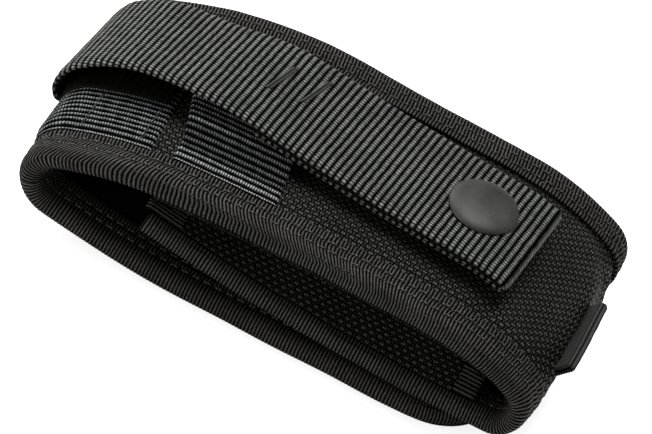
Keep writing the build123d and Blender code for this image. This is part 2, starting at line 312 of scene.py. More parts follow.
class Fabric:
    """A material and the handful of nodes that every fabric starts from."""

    def __init__(self, name):
        self.material = bpy.data.materials.new(name)
        self.material.use_nodes = True
        self.tree = self.material.node_tree
        self.shader = self.tree.nodes["Principled BSDF"]
        uv = self.tree.nodes.new("ShaderNodeUVMap")
        uv.uv_map = "weave"
        split = self.tree.nodes.new("ShaderNodeSeparateXYZ")
        self.tree.links.new(uv.outputs[0], split.inputs[0])
        self.uv = uv.outputs[0]
        self.s, self.t = Wire(self.tree, split.outputs[0]), Wire(self.tree, split.outputs[1])

    def noise(self, scale, stretch=(1, 1, 1), detail=2.0, from_object=False):
        """Noise between 0 and 1; scale counts per millimetre."""
        coordinates = self.tree.nodes.new("ShaderNodeTexCoord").outputs["Object"] if from_object else self.uv
        mapping = self.tree.nodes.new("ShaderNodeMapping")
        mapping.inputs["Scale"].default_value = [v * (1000 if from_object else 1) for v in stretch]
        node = self.tree.nodes.new("ShaderNodeTexNoise")
        node.inputs["Scale"].default_value = scale
        node.inputs["Detail"].default_value = detail
        self.tree.links.new(coordinates, mapping.inputs[0])
        self.tree.links.new(mapping.outputs[0], node.inputs["Vector"])
        return Wire(self.tree, node.outputs[0])

    def finish(self, height, shade, dark, light, depth, roughness=0.55, sheen=0.0, specular=0.4):
        """Colours from shade between dark and light, and a bump of the given depth in millimetres.

        Gaps between yarns, where the shade is low, reflect nothing either.
        """
        ramp = self.tree.nodes.new("ShaderNodeMix")
        ramp.data_type = "RGBA"
        self.tree.links.new(shade.socket, ramp.inputs["Factor"])
        ramp.inputs["A"].default_value = (*dark, 1)
        ramp.inputs["B"].default_value = (*light, 1)
        self.tree.links.new(ramp.outputs["Result"], self.shader.inputs["Base Color"])
        relief = self.tree.nodes.new("ShaderNodeBump")
        relief.inputs["Distance"].default_value = depth * MM
        self.tree.links.new(height.socket, relief.inputs["Height"])
        self.tree.links.new(relief.outputs[0], self.shader.inputs["Normal"])
        gloss = shade.min(1.0) * specular
        self.tree.links.new(gloss.socket, self.shader.inputs["Specular IOR Level"])
        if isinstance(roughness, Wire):
            self.tree.links.new(roughness.socket, self.shader.inputs["Roughness"])
        else:
            self.shader.inputs["Roughness"].default_value = roughness
        self.shader.inputs["Sheen Weight"].default_value = sheen
        self.shader.inputs["Sheen Roughness"].default_value = 0.4
        return self.material


def webbing_material(name, dark, light, warp, slant=0.0, shadow_span=None, narrow=1.4, shaded_stretch=None):
    """Weft ribs crossed by warp floats that step half a yarn at every rib.

    The stretch across given before narrow, if any, is painted shadow: smooth and near black, where the
    strap's inner face and sewn base lie in shade. The stretch along given last is painted shade on an arch's
    steep shoulder.
    """
    f = Fabric(name)
    wander = f.noise(0.5, detail=1.0) - 0.5
    s, t = f.s + (f.noise(0.3, detail=1.0) - 0.5) * 0.25, f.t + wander * 0.3
    row = (s / RIB).floor()
    rib = s.wave(RIB)
    yarn = (t / warp + row * 0.5 + (s / RIB).fract() * slant).fract() * 2 - 1
    yarn = (yarn * yarn * -1.0 + 1.0).max(0.0)
    fuzz = f.noise(2.2, detail=3.0)
    mottle = f.noise(0.9, detail=1.0)
    height = (rib ** 0.6) * (yarn * 0.7 + 0.3) + fuzz * 0.12
    wear = (f.noise(0.11) * 0.8 + 0.55) * (fuzz * 1.5 + 0.2) * (mottle * 1.4 + 0.3)
    shade = (rib ** narrow) * (yarn ** 1.5) * wear
    # painted shade: the colour is darkened along the given stretch, the arch's steep shoulder that faces away
    # from the light
    if shaded_stretch:
        middle, reach = (shaded_stretch[0] + shaded_stretch[1]) / 2, (shaded_stretch[1] - shaded_stretch[0]) / 2
        painted_dimming = (((f.s - middle) / reach).abs() * -2.5 + 2.5).max(0.0).min(1.0)
        shade = shade * (painted_dimming * -0.70 + 1.0)
    # painted shadow: across the given stretch the colour is near black and the weave smoothed, for faces that
    # lie in shade
    if shadow_span:
        inside = f.t.op("GREATER_THAN", shadow_span[0]) * f.t.op("LESS_THAN", shadow_span[1])
        shade = shade.mix(fuzz * 0.10, inside)
        height = height.mix(fuzz * 0.3, inside)
    return f.finish(height, shade.min(1.0), dark, light, 0.28)


def tape_material(name, dark, light):
    """Grosgrain: rounded silky ribs across the tape, of many fine filaments."""
    f = Fabric(name)
    rib = (f.s + (f.noise(1.1, detail=1.0) - 0.5) * 0.16).wave(GROSGRAIN)
    filament = f.noise(4.0, (1.8, 0.3, 1), 2.0)
    height = (rib ** 0.7) * 0.85 + filament * 0.2
    shade = (rib ** 3.2) * (filament * 2.2 - 0.3).max(0.02) * (f.noise(0.14) * 0.9 + 0.5)
    return f.finish(height, shade.min(1.0), dark, light, 0.20, 0.5, 0.0, 0.35)


def basket_material(name, dark, light):
    """Ballistic nylon: a basket of plump yarn pairs, every other pair lying across."""
    f = Fabric(name)
    wander = f.noise(0.8, detail=1.0) - 0.5
    a, b = (f.s + wander * 0.3) / BASKET, (f.t + wander * 0.25) / BASKET
    odd = ((a.floor() + b.floor()) * 0.5).fract() * 2
    along = (a.fract() * pi).sin() ** 0.5 * (((b.fract() * 2 * pi).sin().abs()) ** 0.6 * 0.6 + 0.4)
    across = (b.fract() * pi).sin() ** 0.5 * (((a.fract() * 2 * pi).sin().abs()) ** 0.6 * 0.6 + 0.4)
    weave = along.mix(across, odd)
    grain = f.noise(2.2, detail=3.0)
    height = weave * (odd * 0.35 + 0.65) + grain * 0.2
    shade = (weave ** 3.6) * (odd * 0.7 + 0.3) * (grain * 2.4 - 0.2).max(0.04) * (f.noise(0.09) * 0.9 + 0.5)
    return f.finish(height, shade.min(1.0), dark, light, 0.26, 0.45, 0.0, 0.5)


def corded_material(name, dark, light, pitch):
    """Narrow tape whose cords run along it."""
    f = Fabric(name)
    cord = f.t.wave(pitch)
    filament = f.noise(3.0, (0.4, 1.5, 1), 2.0)
    height = cord + filament * 0.2
    return f.finish(height, ((cord ** 1.4) * (filament + 0.3)).min(1.0), dark, light, 0.16)


def lining_material(name, dark, light):
    f = Fabric(name)
    weave = f.s.wave(0.38) * f.t.wave(0.38)
    height = weave * 0.6 + f.noise(0.5) * 0.8
    return f.finish(height, (weave * 0.7).min(1.0), dark, light, 0.06, 0.7, 0.0, 0.3)


def thread_material(name, dark, light):
    f = Fabric(name)
    twist = (f.s * 7.0 + f.t * 3.0).sin() * 0.5 + 0.5
    return f.finish(twist, twist, dark, light, 0.04, 0.45)


def pile_material(name, dark, light):
    f = Fabric(name)
    tuft = f.noise(2.4, detail=4.0)
    return f.finish(tuft, (tuft ** 2.0) * 1.6, dark, light, 0.5, 0.8, 0.1, 0.3)


def metal_material(name, colour, roughness, scuff):
    """Lacquered snap: satin, with faint rubbing on its crown and fine grit."""
    f = Fabric(name)
    grit = f.noise(1.6, detail=4.0, from_object=True)
    blot = f.noise(0.16, detail=2.0, from_object=True)
    shade = (blot * 0.9 + grit * 0.3).min(1.0)
    dark = tuple(c * 0.82 for c in colour)
    return f.finish(grit, shade, dark, scuff, 0.012, (blot * 0.16 + roughness).min(1.0), 0.0, 0.6)


SHADED_INNER_FACE = (2 * STRAP_WIDE + 0.6, 4 * STRAP_WIDE - 0.4)     # the strap's hidden face, round its section, painted as shadow: smooth and near black
EVERYWHERE = (-9, 999)
CROSS_START = 100 * RIB         # where the middle of a cross webbing lies in its weave
BLACK = (0.0005, 0.0005, 0.0005)
# painted shadow on the strap's inner face, which shows inside its loop
mat_web = webbing_material("webbing_nylon", BLACK, (0.275, 0.285, 0.27), 0.74, 0.25, SHADED_INNER_FACE, 3.0)
# painted shadow: the strap's sewn base is a darker copy of the strap's webbing, near black and smooth all
# over, as it lies in shade under the loop
mat_base_painted_shade = webbing_material("strap_base_painted_shade", BLACK, (0.09, 0.10, 0.07), 0.70, 0.25, EVERYWHERE)
mat_cross = webbing_material("cross_webbing_nylon", BLACK, (0.33, 0.35, 0.34), 0.56, narrow=6.5)
# painted light and shade: a lighter copy of the cross webbing's colour, for the arch's lit crown and feet,
# with painted shade on its steep shoulder
mat_arch_painted_light_and_shade = webbing_material("arched_webbing_painted_light_and_shade", BLACK, (0.50, 0.52, 0.51), 0.56, narrow=5.0,
                            shaded_stretch=(CROSS_START - 19.2, CROSS_START - 11.0))
mat_loop_web = corded_material("corded_nylon", (0.001, 0.001, 0.001), (0.052, 0.054, 0.051), 0.62)
mat_tape = tape_material("grosgrain", (0.001, 0.001, 0.0009), (0.074, 0.072, 0.062))
mat_shell = basket_material("ballistic_nylon", (0.0004, 0.0004, 0.0003), (0.10, 0.10, 0.087))
# painted shade: the gussets are the shell's own fabric, darkened in colour as they lie in shade under the
# pocket's overhang
mat_gusset_painted_shade = basket_material("gusset_nylon_painted_shade", (0.0005, 0.0005, 0.0004), (0.035, 0.035, 0.03))
# the lining's own black, darkened further as painted shade for the shaded insides of the pocket and flap
mat_lining_black_and_painted_shade = lining_material("lining_black_and_painted_shade", (0.001, 0.001, 0.001), (0.010, 0.010, 0.009))
mat_thread = thread_material("bonded_thread", (0.02, 0.02, 0.018), (0.13, 0.128, 0.115))
mat_tack = thread_material("tack_thread", (0.004, 0.004, 0.004), (0.12, 0.124, 0.117))
mat_hook = pile_material("hook_face", (0.002, 0.002, 0.002), (0.02, 0.02, 0.02))
mat_loop = pile_material("loop_face", (0.002, 0.002, 0.002), (0.03, 0.03, 0.03))
mat_cap = metal_material("snap_lacquer", (0.027, 0.028, 0.026), 0.40, (0.038, 0.038, 0.035))
mat_snap = metal_material("snap_blackened", (0.02, 0.02, 0.02), 0.38, (0.06, 0.057, 0.05))


def dress(obj, material, body=None, replaces=()):
    obj.data.materials.clear()
    obj.data.materials.append(material)
    if body:
        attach(obj, body)
    if replaces:
        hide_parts(*replaces)
    return obj


def across_fold(obj):
    """Bakes a flap piece's placement into its mesh; nothing bends it round the fold."""
    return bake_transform(obj)


# ---------------------------------------------------------------- the padded panel and its lining
def panel_swell(s, y):
    """The padding stands proud between the sewn edges and sinks along them."""
    edge = np.abs(y)
    dent = 0.42 * bump(edge, 21.1, 1.5) + 0.14 * bump(edge, 18.5, 2.2)
    crown = 0.16 * np.cos(np.clip(y / 21.5, -1, 1) * pi / 2)
    return crown - dent + 0.10 * ripple(s, y, 3, 24) + 0.05 * ripple(s, y, 4, 9)


def cloth_swell(s0, s1, half):
    """How the fabric settles over its padding: a coarse cloth sewn down round its edges, filled and let go.
    """
    scale, slack = 20.0, 0.012
    places, across = np.linspace(s0, s1, int((s1 - s0) / 2.6)), np.linspace(-half, half, 24)
    rest = on_strip(places[:, None], across[None, :], HALF_PANEL)
    cloth = grid("settling_cloth", rest * scale, np.zeros(rest.shape[:2] + (2,)), flip=True)
    sewn = cloth.vertex_groups.new(name="sewn")
    index = np.arange(rest[..., 0].size).reshape(rest.shape[:2])
    ends, sides = (index[:2], index[-2:]), (index[:, :4], index[:, -4:])
    border = np.concatenate([rows.ravel() for rows in (*ends, *sides)])
    sewn.add([int(i) for i in np.unique(border)], 1.0, "REPLACE")
    settings = cloth.modifiers.new("cloth", "CLOTH").settings
    settings.quality, settings.mass, settings.air_damping = 6, 0.3, 5.0
    settings.tension_stiffness = settings.compression_stiffness = 12.0
    settings.bending_stiffness, settings.vertex_group_mass = 0.8, "sewn"
    settings.use_pressure, settings.uniform_pressure_force, settings.shrink_min = True, 0.8, -slack
    settings.effector_weights.gravity = 0.15
    scene = bpy.context.scene
    for number in range(1, 31):
        scene.frame_set(number)
    settled = cloth.evaluated_get(bpy.context.evaluated_depsgraph_get()).to_mesh()
    moved = np.empty(len(settled.vertices) * 3)
    settled.vertices.foreach_get("co", moved)
    moved = moved.reshape(rest.shape) / MM / scale
    scene.frame_set(1)
    bpy.data.objects.remove(cloth, do_unlink=True)
    rise = ((moved - rest) * -surface_normals(rest)).sum(-1)
    rise = np.clip(rise, -0.4, 0.7)

    def lookup(s, y):
        s, y = np.broadcast_arrays(s, y)
        a = np.clip((s - s0) / (s1 - s0) * (len(places) - 1), 0, len(places) - 1.001)
        b = np.clip((y + half) / (2 * half) * (len(across) - 1), 0, len(across) - 1.001)
        i, j = a.astype(int), b.astype(int)
        a, b = a - i, b - j
        a, b = a * a * (3 - 2 * a), b * b * (3 - 2 * b)
        return (rise[i, j] * (1 - a) + rise[i + 1, j] * a) * (1 - b) + \
            (rise[i, j + 1] * (1 - a) + rise[i + 1, j + 1] * a) * b
    return lookup


settle = cloth_swell(0.0, MOUTH, 28.9)


def panel(name, s0, s1, offset, material, inside=False, half=28.9, flap=False):
    n = int((s1 - s0) / 0.8 * FINE) + 2
    s = np.linspace(s0, s1, n)[:, None]
    y = np.linspace(-1, 1, int(80 * FINE) + 1)[None, :] * half
    if flap:
        corner = np.clip(FLAP_CORNER - 1.1 - s, 0, None)
        reach = FLAP_CORNER - 1.1
        width = HALF - FLAP_CORNER + np.sqrt(np.maximum(reach ** 2 - corner ** 2, 0))
        y = y / half * np.minimum(width - 0.2, half)
    swell = panel_swell(s, y) + settle(s, y)
    points = on_strip(s, y, offset + (-swell * 0.6 if inside else swell))
    uv = np.stack(np.broadcast_arrays(s, y), -1)
    return dress(grid(name, points, uv, flip=not inside), material)


shell = panel("shell_fabric", CUT, MOUTH - 0.6, HALF_PANEL, mat_shell)
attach(shell, "sheath")
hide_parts("outer_shell", "foam_core")
lining = panel("lining_fabric", CUT, MOUTH - 0.6, -HALF_PANEL, mat_lining_black_and_painted_shade, inside=True)
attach(lining, "sheath")
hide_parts("inner_lining")
flap_shell = panel("flap_fabric", 1.2, CUT, HALF_PANEL, mat_shell, flap=True)
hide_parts("flap_shell", "flap_foam")
across_fold(flap_shell)
flap_lining = panel("flap_lining_fabric", 1.2, CUT, -HALF_PANEL, mat_lining_black_and_painted_shade, inside=True, flap=True)
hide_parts("flap_lining")
across_fold(flap_lining)


# ---------------------------------------------------------------- binding tape
def tape_section(steps):
    """Across the tape, from its edge on the outer face, round the fold, to its edge on the inner one.

    Gives the distance in from the bound edge, the height off the middle, and the distance across.
    """
    r = HALF_BOUND - 0.05
    flat = TAPE_COVER - r
    run = [0.0, 0.55, 0.55 + flat, 0.55 + flat + pi * r, 0.55 + 2 * flat + pi * r, 1.1 + 2 * flat + pi * r]
    t = np.concatenate([[0.0, 0.3], np.linspace(0.5, run[-1] - 0.5, steps), [run[-1] - 0.3, run[-1]]])
    inward, height = np.zeros_like(t), np.zeros_like(t)
    for i, d in enumerate(t):
        if d <= run[1]:
            inward[i], height[i] = TAPE_COVER, HALF_PANEL - 0.15 + d * (r - HALF_PANEL + 0.15) / 0.55
        elif d <= run[2]:
            inward[i], height[i] = TAPE_COVER - (d - run[1]), r
        elif d <= run[3]:
            angle = pi / 2 - (d - run[2]) / r
            inward[i], height[i] = r - r * cos(angle), r * sin(angle)
        elif d <= run[4]:
            inward[i], height[i] = r + d - run[3], -r
        else:
            inward[i], height[i] = TAPE_COVER, -(r + (run[4] - d) * (r - HALF_PANEL + 0.15) / 0.55)
    return t, inward, height


def tape(name, length, outline, seed, close=(False, False), slant=(0.1, 0.0)):
    """Binding along an outline that gives s, y and the inward direction for a distance along it.

    Beyond its first row of sewing the ribs lean: slant is how much everywhere, and how much more
    at the start.
    """
    n = int(length / GROSGRAIN * 5 * FINE) + 2
    along = np.linspace(0, length, n)
    t, inward, height = tape_section(int(46 * FINE))
    s0, y0, ds, dy = [a[:, None] for a in outline(along)]
    lean = slant[0] + slant[1] * np.exp(-(along[:, None] / 34) ** 2)
    past = np.clip(t[None, :] - 2.7, 0, 6.5)
    weft = along[:, None] + 0.15 * ripple(along[:, None], inward[None, :], seed, 11) + lean * past
    weft = weft - 0.12 * past * past * slant[1] * np.exp(-((along[:, None] - 60) / 30) ** 2)
    rib = np.abs(np.sin(pi * weft / GROSGRAIN)) ** 0.7
    sewn = 0.40 * bump(inward, 6.3, 0.6) + 0.22 * bump(inward, 3.9, 0.5)
    pucker = sewn[None, :] * (1 + 0.35 * np.sin(along[:, None] * 2 * pi / 2.6 + seed))
    puff = 0.10 * bump(inward, 7.6, 0.7) + 0.14 * bump(inward, 5.1, 0.6)
    rise = -0.16 * (1 - rib) - pucker + puff[None, :]
    rise = rise + 0.10 * ripple(along[:, None], inward[None, :], seed + 7, 17)
    edge = np.clip(inward / HALF_BOUND, 0, 1)[None, :]
    outward = 1 - edge
    sink_in = -rise * outward
    scale = 1 + rise * np.clip(edge + 0.35, 0, 1) / HALF_BOUND
    inset = inward[None, :] + sink_in + 0.12 * ripple(along[:, None], 0 * inward[None, :], seed + 3, 30)
    points = on_strip(s0 + ds * inset, y0 + dy * inset, height[None, :] * scale)
    uv = np.stack(np.broadcast_arrays(weft, t[None, :]), -1)
    for end, want in zip((0, -1), close):
        if want:
            middle = on_strip((s0 + ds * inset)[end], (y0 + dy * inset)[end], height * 0)[None]
            wall = uv[end][None]
            points = np.concatenate([middle, points] if end == 0 else [points, middle], 0)
            uv = np.concatenate([wall, uv] if end == 0 else [uv, wall], 0)
    return grid(name, points, uv, flip=True)


def side_outline(side):
    def outline(along):
        one = np.ones_like(along)
        return CUT + along, side * HALF * one, 0 * one, -side * one
    return outline


MOUTH_HALF = HALF - TAPE_COVER + 0.7


def mouth_outline(along):
    one = np.ones_like(along)
    return MOUTH * one, along - MOUTH_HALF, -one, 0 * one


FLAP_SIDE = CUT - FLAP_CORNER
CORNER_RUN = FLAP_CORNER * pi / 2
END_RUN = 2 * (HALF - FLAP_CORNER)
FLAP_RUN = 2 * FLAP_SIDE + 2 * CORNER_RUN + END_RUN


def flap_outline(along):
    """Down the near side of the flap, round its end, and back up the far side."""
    mirror = along > FLAP_RUN / 2
    d = np.where(mirror, FLAP_RUN - along, along)
    angle = np.clip((d - FLAP_SIDE) / FLAP_CORNER, 0, pi / 2)
    end = np.clip(d - FLAP_SIDE - CORNER_RUN, 0, None)
    s = np.maximum(CUT - d, FLAP_CORNER) * (d <= FLAP_SIDE) + \
        FLAP_CORNER * (1 - np.sin(angle)) * (d > FLAP_SIDE)
    y = -(HALF - FLAP_CORNER) - FLAP_CORNER * np.cos(angle) + end
    ds, dy = np.sin(angle), np.cos(angle)
    return s, np.where(mirror, -y, y), ds, np.where(mirror, -dy, dy)


near_tape = tape("near_edge_tape", MOUTH - CUT, side_outline(-1), 1, (False, True), (0.15, 0.85))
dress(near_tape, mat_tape, "sheath", ["edge_binding_near"])
far_tape = tape("far_edge_tape", MOUTH - CUT, side_outline(1), 2, (False, True))
dress(far_tape, mat_tape, "sheath", ["edge_binding_far"])
far_tape.data.flip_normals()
mouth_tape = tape("mouth_tape", 2 * MOUTH_HALF, mouth_outline, 3)
dress(mouth_tape, mat_tape, "sheath", ["pocket_mouth_binding"])
flap_tape = tape("flap_edge_tape", FLAP_RUN, flap_outline, 4)
dress(flap_tape, mat_tape, None, ["flap_binding"])
across_fold(flap_tape)


# ---------------------------------------------------------------- sewing on the tape
def outline_stitches(length, outline, inset, heights, pitch=2.6, gap=0.7, shift=0.0):
    """Lockstitches along an outline, on each of the heights given, sunk into the tape's groove."""
    found = []
    for start in np.arange(shift, length - pitch, pitch):
        ends = np.array([start + gap / 2, start + pitch - gap / 2])
        s, y, ds, dy = outline(ends)
        for height in heights:
            a, b = on_strip(s + ds * inset, y + dy * inset, np.full(2, height))
            above = on_strip((s + ds * inset)[:1], (y + dy * inset)[:1], np.full(1, height * 1.2))[0]
            found.append((a, b, above - a, 0.16))
    return found


tops = (HALF_BOUND - 0.20, -(HALF_BOUND - 0.20))
sewing = []
for side in (-1, 1):
    sewing += outline_stitches(MOUTH - CUT, side_outline(side), 6.3, tops)
    sewing += outline_stitches(MOUTH - CUT, side_outline(side), 3.9, tops, shift=1.1)
sewing += outline_stitches(2 * MOUTH_HALF, mouth_outline, 6.3, tops)
dress(threads("edge_stitches", sewing), mat_thread, "sheath")
flap_sewing = outline_stitches(FLAP_RUN, flap_outline, 6.3, tops)
flap_sewing += outline_stitches(FLAP_RUN, flap_outline, 3.9, tops, shift=1.1)
flap_stitches = dress(threads("flap_stitches", flap_sewing), mat_thread)
across_fold(flap_stitches)


# ---------------------------------------------------------------- cross webbings
def back_at(x):
    return strip.find(x, BACK_START, BACK_END)


def cross_webbing(name, s_mid, width, lift, lean, material, ends, thick=WEB / 2):
    """A webbing across the back; lift gives its height off the shell, and lean how far it shifts."""
    steps = int(44 / RIB * 8 * FINE)
    y = np.linspace(-ends, ends, steps)
    height = HALF_PANEL + thick + lift(y)
    centre_s = s_mid + lean(y)
    across = int(44 * FINE)
    pinch = 1 - 0.45 * bump(np.abs(y), ends, 1.8)
    sy, sz, ny, nz = band_section(width / 2, thick, across)
    sink = rib_relief(y[:, None], sy[None, :], 0.34, 1.2)
    out = (sz[None, :] + nz[None, :] * sink) * pinch[:, None]
    slope = np.arctan(np.gradient(height, y))[:, None]
    s = centre_s[:, None] + sy[None, :] + ny[None, :] * sink
    yy = y[:, None] - out * np.sin(slope)
    points = on_strip(s, yy, height[:, None] - (1 - pinch[:, None]) * thick + out * np.cos(slope))
    seam = np.concatenate([[0], np.cumsum(np.hypot(np.diff(sy), np.diff(sz)))])
    around = np.concatenate([seam, [seam[-1] + 0.4]])
    uv = np.stack(np.broadcast_arrays(y[:, None] + CROSS_START, around[None, :]), -1)
    return dress(grid(name, points, uv, wrap=True), material, "sheath")


upper_s = max(back_at(-34.5) - 25.0, FOLD_LINE) + 12.5
upper = cross_webbing("cross_webbing_top", upper_s, 25.0, lambda y: 0.02 + 0 * y,
                      lambda y: -0.04 * (y + 21), mat_cross, 21.9)
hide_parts("cross_webbing_upper")


def arch_lift(y):
    """Flat feet sewn down by the tapes, long steep shoulders and a low crown."""
    rise = np.clip((19.1 - np.abs(y)) / 9.5, 0, 1)
    return 0.05 + 2.5 * rise * rise * (3 - 2 * rise)


loop_web = cross_webbing("cross_webbing_arch", back_at(-21.4), 23.0, arch_lift,
                         lambda y: 2.8 * np.sin(np.clip((-5.5 - y) / 16, -1, 1) * pi / 2), mat_arch_painted_light_and_shade, 21.8)
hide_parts("cross_webbing_loop")


# ---------------------------------------------------------------- the long strap
def skewed(vectors):
    """Turns directions from the strap's frame into the sheath's."""
    u, v, z = np.moveaxis(np.asarray(vectors, float), -1, 0)
    return np.stack([u * cos(STRAP_SKEW) + v * sin(STRAP_SKEW),
                     -u * sin(STRAP_SKEW) + v * cos(STRAP_SKEW), z], -1)


BASE_LIFT = HALF_PANEL + WEB + 0.05
FOLD_RUN, FOLD_DROP = 6.2, 2.9  # the strap's own fold: its length and how far it hangs
fold_top = strap_path.at(0.0)[1]
base_line = np.linspace(FOLD_LINE, BACK_START, 400)
base_from = float(base_line[np.argmin(np.abs(strip.beside(base_line, BASE_LIFT)[1] - fold_top))])
BASE_RUN = back_at(-36.8) - base_from


def strap_middle(s, v):
    """Middle of the strap: from 0 along it, below 0 round its fold and back along its sewn base."""
    u, z, h = strap_path.at(np.maximum(s, 0))
    sag = 2.7 * bump(s, 29.0, 15.0) * np.clip((v + 13) / 26, 0, 1) * (s < 100)
    uneven = 0.10 * ripple(s, v, 12, 21) * (s < 100)
    crown = 1.4 * bump(s, 17.0, 12.0)
    over = askew(u, v, z + (crown - sag + uneven) * np.clip(s / 6, 0, 1))
    x, z = strip.beside(base_from + np.maximum(-s - FOLD_RUN, 0), BASE_LIFT)
    under = np.stack(np.broadcast_arrays(x, 5.7 - STRAP_SHIFT + v, z), -1)
    turn = np.clip(-s / FOLD_RUN, 0, 1)[..., None]
    left, right = askew(strap_path.at(0.0)[0], v, fold_top), under
    round_it = (left + right) / 2 + (left - right) / 2 * np.cos(pi * turn)
    round_it = round_it - np.array([0, 0, FOLD_DROP]) * np.sin(pi * turn)
    s = np.broadcast_to(s, over.shape[:2])[..., None]
    return np.where(s >= 0, over, np.where(s < -FOLD_RUN, under, round_it))


def strap_piece(name, s0, s1):
    n = int((s1 - s0) / RIB * 8 * FINE) + 1
    s = np.linspace(s0, s1, n)[:, None]
    y, zz, ny, nz = band_section(STRAP_WIDE, STRAP_HALF, int(60 * FINE))
    thin = 0.38 + 0.62 * np.clip((STRAP_WIDE - np.abs(y)) / 2.2, 0, 1) ** 0.6
    sink = rib_relief(s + 10 * RIB, y[None, :]) * thin[None, :]
    out = zz * thin + nz * sink
    v = y + ny * sink + STRAP_SHIFT
    ahead = strap_middle(s + 0.05, v) - strap_middle(s - 0.05, v)
    normal = np.stack([-ahead[..., 2], 0 * ahead[..., 2], ahead[..., 0]], -1)
    normal /= np.linalg.norm(normal, axis=-1, keepdims=True)
    points = strap_middle(s, v) + normal * out[..., None]
    seam = np.concatenate([[0], np.cumsum(np.hypot(np.diff(y), np.diff(zz)))])
    around = np.concatenate([seam, [seam[-1] + 0.4]])
    uv = np.stack(np.broadcast_arrays(s + 10 * RIB, around[None, :]), -1)
    caps = [strap_middle(s[end:end + 1] if end == 0 else s[-1:], v[end][None]) for end in (0, -1)]
    points = np.concatenate([caps[0], points, caps[1]], 0)
    uv = np.concatenate([uv[:1], uv, uv[-1:]], 0)
    return grid(name, points, uv, wrap=True, flip=True)


strap = strap_piece("long_strap", -FOLD_RUN / 2, strap_path.length)
dress(strap, mat_web, None, ["strap_webbing"])
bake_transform(strap)
base = strap_piece("strap_base_webbing", -FOLD_RUN - BASE_RUN, -FOLD_RUN / 2 + 0.3)
dress(base, mat_base_painted_shade, "sheath", ["strap_base"])


# ---------------------------------------------------------------- snap fastener
def lathe(name, profile, centre, tilt, steps=72):
    """Turns a run of (radius, height) pairs about the snap's axis."""
    profile = np.array(profile, float)
    q = np.linspace(0, 2 * pi, steps, endpoint=False)[:, None]
    r, z = profile[None, :, 0], profile[None, :, 1]
    x, y = r * np.cos(q), r * np.sin(q)
    spin = np.array([[cos(tilt), 0, sin(tilt)], [0, 1, 0], [-sin(tilt), 0, cos(tilt)]])
    points = np.stack(np.broadcast_arrays(x, y, z), -1) @ spin.T
    points = skewed(points) + centre
    points = np.concatenate([points, points[:1]], 0)
    q = np.concatenate([q, q[:1] + 2 * pi], 0)
    uv = np.stack(np.broadcast_arrays(q * 7.6, np.arange(len(profile))[None, :] * 0.5), -1)
    return grid(name, points, uv)


snap_centre = np.array([*SNAP, 0.0])
cap_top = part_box("snap_cap")[1][2] / MM
cap_profile = [(0.01, cap_top), (1.5, cap_top - 0.03), (3.0, cap_top - 0.13), (4.5, cap_top - 0.32),
               (5.6, cap_top - 0.55), (6.4, cap_top - 0.82), (6.95, cap_top - 1.08), (7.3, cap_top - 1.32),
               (7.5, cap_top - 1.55), (7.58, cap_top - 1.75), (7.5, cap_top - 1.92), (7.25, cap_top - 2.02),
               (6.6, cap_top - 2.05), (2.0, cap_top - 2.05), (2.0, cap_top - 5.0), (0.01, cap_top - 5.0)]
cap = lathe("snap_cap_dome", cap_profile, snap_centre, radians(1.0))
soften = cap.modifiers.new("soften", "SUBSURF")
soften.levels = soften.render_levels = 2
dress(cap, mat_cap, "strap", ["snap_cap"])
for node in ("snap_socket", "snap_stud", "snap_rivet"):
    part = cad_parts[node]
    part.data.materials.clear()
    part.data.materials.append(mat_snap)


# ---------------------------------------------------------------- gussets
def gusset(side, name):
    """A V of shell fabric folded in between the back and the pocket front."""
    n, m = int(120 * FINE), int(40 * FINE)
    x = np.linspace(-30.2, 45.4, n)
    t = np.linspace(0, 1, m)
    back_s = np.array([strip.find(v, BACK_START, BACK_END) for v in x])
    front_s = np.array([strip.find(v, FRONT_START, MOUTH) for v in x])
    top = strip.beside(back_s, -HALF_BOUND - 0.1)[1][:, None]
    low = strip.beside(front_s, -HALF_BOUND - 0.1)[1][:, None]
    fold = 1 - np.abs(2 * t - 1)[None, :]
    fold = fold ** 0.85
    depth = 6.6 + 0.5 * ripple(x[:, None], 0 * t[None, :], 5, 40)
    y = HALF - 2.0 - depth * fold
    belly = 0.35 * np.sin(2 * pi * t)[None, :]
    z = low + (top - low) * t[None, :] + belly + 0.15 * ripple(x[:, None], t[None, :] * 9, 6, 18)
    points = np.stack(np.broadcast_arrays(x[:, None], side * y, z), -1)
    uv = np.stack(np.broadcast_arrays(x[:, None] + 60, 16 * t[None, :]), -1)
    leaf = sheet(name, points, uv, 0.7, flip=side < 0)
    dress(leaf, mat_gusset_painted_shade, "sheath", ["side_gusset_" + ("near" if side < 0 else "far")])
    return points


def gusset_tape(side, name, points, first, last, at_end):
    """Tape folded over a gusset's end, a fold of cloth on both faces."""
    part = points[first:last]
    normal = surface_normals(part) * (1 if side < 0 else -1)
    n = len(part)
    rise = 0.40 + 0.10 * np.sin(np.linspace(0, 8 * pi, part.shape[1]))[None, :, None]
    outer, inner = part + normal * (rise + 0.7), part - normal * rise
    nose = (outer[at_end] + inner[at_end]) / 2
    nose = nose + (part[at_end] - part[-1 if at_end == 0 else 0]) * 0.10
    rows = [outer[::-1], nose[None], inner] if at_end == 0 else [outer, nose[None], inner[::-1]]
    loop = np.concatenate(rows, 0).transpose(1, 0, 2)
    uv = np.stack(np.meshgrid(np.linspace(0, 16, loop.shape[0]), np.linspace(0, 17, loop.shape[1]),
                              indexing="ij"), -1)
    return grid(name, loop, uv, flip=side > 0)


for side, name in ((-1, "near"), (1, "far")):
    leaf_points = gusset(side, "gusset_" + name)
    count = len(leaf_points)
    mouth_end = gusset_tape(side, "gusset_tape_mouth_" + name, leaf_points, 0, int(count * 0.115), 0)
    dress(mouth_end, mat_tape, "sheath", ["gusset_end_tapes_" + name])
    foot_end = gusset_tape(side, "gusset_tape_foot_" + name, leaf_points, int(count * 0.94), count, -1)
    dress(foot_end, mat_tape, "sheath")


